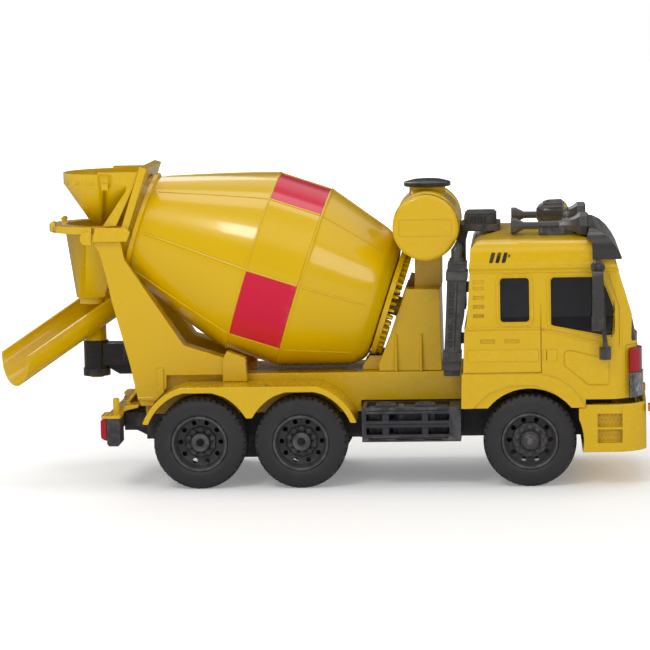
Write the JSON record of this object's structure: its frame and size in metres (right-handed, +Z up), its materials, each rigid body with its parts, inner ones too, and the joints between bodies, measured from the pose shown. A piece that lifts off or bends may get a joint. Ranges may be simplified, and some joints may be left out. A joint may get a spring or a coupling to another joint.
{
  "type": "toy cement mixer truck",
  "caption": "Toy concrete mixer truck with a turning tilted drum, a swinging discharge chute, steered front wheels and free-rolling rear axles.",
  "frame": {"origin": "on the ground, on the centre line, midway along the truck", "axes": "+X forwards towards the cab, +Y to the left side, +Z up; the chute is swung towards -Y at rest"},
  "size_m": [0.3863, 0.1406, 0.1893],
  "materials": {
    "cab_yellow": "glossy moulded yellow plastic",
    "drum_yellow": "glossy moulded yellow plastic with printed red panels",
    "chassis_black": "satin black moulded plastic",
    "cap_black": "glossy black plastic",
    "trim_grey": "glossy dark warm grey plastic",
    "rim_grey": "satin dark grey plastic",
    "tyre_rubber": "matte soft black rubber",
    "window_dark": "near-black tinted glossy plastic",
    "lens_clear": "clear moulded lens",
    "lamp_red": "red transparent moulded lens",
    "cell_green": "printed sleeve",
    "pcb_green": "solder mask",
    "nylon_white": "natural nylon",
    "servo_black": "satin black",
    "motor_steel": "plated steel",
    "screw_steel": "zinc plated"
  },
  "bodies": {
    "chassis": {"chassis_frame": "chassis_black", "battery_cover": "chassis_black", "battery_cells": "cell_green", "control_board": "pcb_green", "drive_gearbox": "nylon_white", "steering_servo": "servo_black", "deck_frame": "cab_yellow", "fender_left": "cab_yellow", "fender_right": "cab_yellow", "drum_tower": "cab_yellow", "drum_motor": "motor_steel", "water_tank": "cab_yellow", "pillar_left": "cab_yellow", "pillar_right": "cab_yellow", "support_arch": "cab_yellow", "hopper": "cab_yellow", "discharge_box": "cab_yellow", "chute_bracket": "cap_black", "rear_bumper": "chassis_black", "bumper_steps": "cab_yellow", "tail_lamps": "lamp_red", "side_racks": "chassis_black", "cab_shell": "cab_yellow", "front_fascia": "cab_yellow", "front_bumper": "cab_yellow", "windshield": "window_dark", "side_windows": "window_dark", "sun_visor": "trim_grey", "roof_horns": "trim_grey", "spotlight": "trim_grey", "spotlight_lens": "lens_clear", "air_intake": "trim_grey", "exhaust_stack": "trim_grey", "side_mirrors": "trim_grey", "headlamp_lenses": "lens_clear", "turn_lamps": "lamp_red", "body_screws": "screw_steel"},
    "knuckle_left": {"knuckle_left": "chassis_black"},
    "knuckle_right": {"knuckle_right": "chassis_black"},
    "tie_rod": {"tie_rod": "chassis_black"},
    "front_wheel_left": {"front_tyre_left": "tyre_rubber", "front_rim_left": "rim_grey"},
    "front_wheel_right": {"front_tyre_right": "tyre_rubber", "front_rim_right": "rim_grey"},
    "rear_axle_a": {"rear_shaft_a": "motor_steel", "rear_rims_a": "rim_grey", "rear_tyres_a": "tyre_rubber"},
    "rear_axle_b": {"rear_shaft_b": "motor_steel", "rear_rims_b": "rim_grey", "rear_tyres_b": "tyre_rubber"},
    "drum": {"drum_rear_shell": "drum_yellow", "drum_front_shell": "drum_yellow", "drum_ring_gear": "drum_yellow", "drum_blades": "drum_yellow"},
    "pinion": {"drive_pinion": "nylon_white"},
    "roller_left": {"roller_left": "cap_black"},
    "roller_right": {"roller_right": "cap_black"},
    "chute": {"chute": "cab_yellow"},
    "tank_cap": {"tank_cap": "cap_black"},
    "power_switch": {"power_switch": "servo_black"}
  },
  "joints": [
    {"name": "drum_spin", "type": "hinge", "parent": "chassis", "child": "drum", "pos_m": [-0.0434, 0, 0.1297], "axis": [0.9494, 0, -0.314], "continuous": true},
    {"name": "pinion_spin", "type": "hinge", "parent": "chassis", "child": "pinion", "pos_m": [0.03965, 0, 0.07063], "axis": [0.314, 0, 0.9494], "continuous": true},
    {"name": "roller_left_spin", "type": "hinge", "parent": "chassis", "child": "roller_left", "pos_m": [0.0278, 0.01407, 0.07108], "axis": [0.9494, 0, -0.314], "continuous": true},
    {"name": "roller_right_spin", "type": "hinge", "parent": "chassis", "child": "roller_right", "pos_m": [0.0278, -0.01407, 0.07108], "axis": [0.9494, 0, -0.314], "continuous": true},
    {"name": "chute_swing", "type": "hinge", "parent": "chassis", "child": "chute", "pos_m": [-0.14, 0, 0.0725], "axis": [0, 0, 1], "range_deg": [-100, 20]},
    {"name": "steer_left", "type": "hinge", "parent": "chassis", "child": "knuckle_left", "pos_m": [0.1215, 0.044, 0.0272], "axis": [0, 0, 1], "range_deg": [-15, 15]},
    {"name": "steer_right", "type": "hinge", "parent": "chassis", "child": "knuckle_right", "pos_m": [0.1215, -0.044, 0.0272], "axis": [0, 0, 1], "range_deg": [-15, 15]},
    {"name": "tie_rod_slide", "type": "slide", "parent": "chassis", "child": "tie_rod", "axis": [0, 1, 0], "range_m": [-0.0028, 0.0028]},
    {"name": "wheel_left_spin", "type": "hinge", "parent": "knuckle_left", "child": "front_wheel_left", "pos_m": [0.1215, 0.048, 0.0272], "axis": [0, 1, 0], "continuous": true},
    {"name": "wheel_right_spin", "type": "hinge", "parent": "knuckle_right", "child": "front_wheel_right", "pos_m": [0.1215, -0.048, 0.0272], "axis": [0, 1, 0], "continuous": true},
    {"name": "rear_axle_a_spin", "type": "hinge", "parent": "chassis", "child": "rear_axle_a", "pos_m": [-0.0723, 0, 0.0272], "axis": [0, 1, 0], "continuous": true},
    {"name": "rear_axle_b_spin", "type": "hinge", "parent": "chassis", "child": "rear_axle_b", "pos_m": [-0.0125, 0, 0.0272], "axis": [0, 1, 0], "continuous": true},
    {"name": "tank_cap_lift", "type": "slide", "parent": "chassis", "child": "tank_cap", "axis": [0, 0, 1], "range_m": [0, 0.012]},
    {"name": "power_switch_slide", "type": "slide", "parent": "chassis", "child": "power_switch", "axis": [1, 0, 0], "range_m": [-0.0013, 0.0013]}
  ],
  "couplings": [
    {"joint": "pinion_spin", "follows": "drum_spin", "ratio": -4},
    {"joint": "roller_left_spin", "follows": "drum_spin", "ratio": -12.37},
    {"joint": "roller_right_spin", "follows": "drum_spin", "ratio": -12.37},
    {"joint": "steer_right", "follows": "steer_left", "ratio": 1},
    {"joint": "tie_rod_slide", "follows": "steer_left", "m_per_rad": -0.01}
  ]
}
